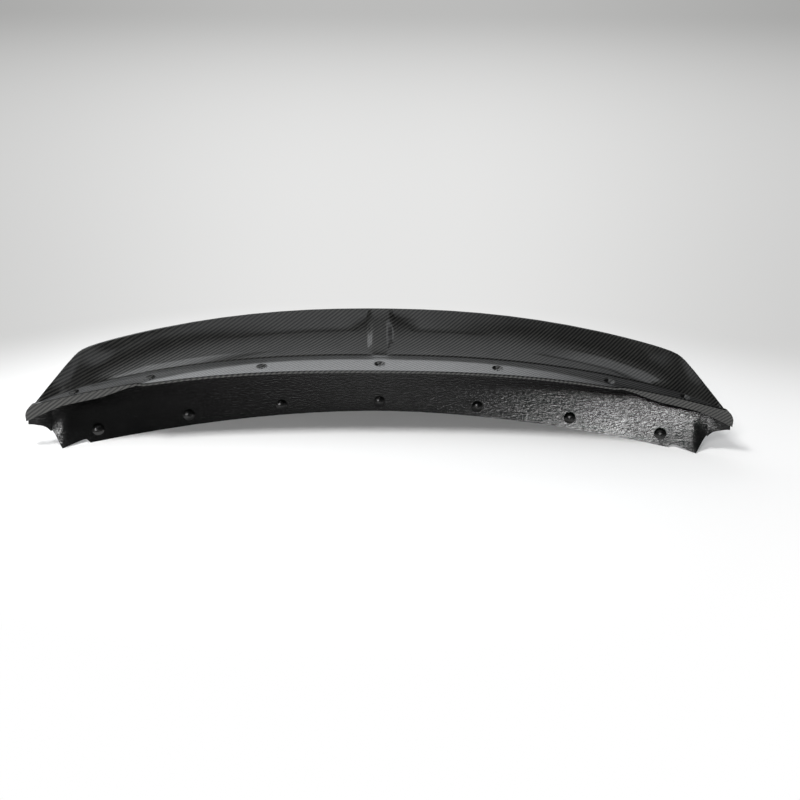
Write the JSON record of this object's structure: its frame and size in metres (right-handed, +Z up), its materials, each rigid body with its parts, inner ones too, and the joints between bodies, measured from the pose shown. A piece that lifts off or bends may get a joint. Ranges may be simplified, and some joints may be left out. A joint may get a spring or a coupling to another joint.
{
  "type": "car rear spoiler",
  "caption": "Ducktail boot-lid spoiler moulded in carbon laminate: flange, dished blade with centre rib, rear wall, notched ears and a row of screw seats.",
  "frame": {"origin": "on the ground under the middle of the outline, with the foot of the rear wall at Z = 0", "axes": "X across the car, Y to the rear of the car, Z up"},
  "size_m": [1.408, 0.2332, 0.2179],
  "materials": {
    "carbon_laminate": "clear-coated twill carbon laminate on the outside, raw laminate on the inside"
  },
  "bodies": {
    "root": {"spoiler_shell": "carbon_laminate"}
  },
  "joints": []
}
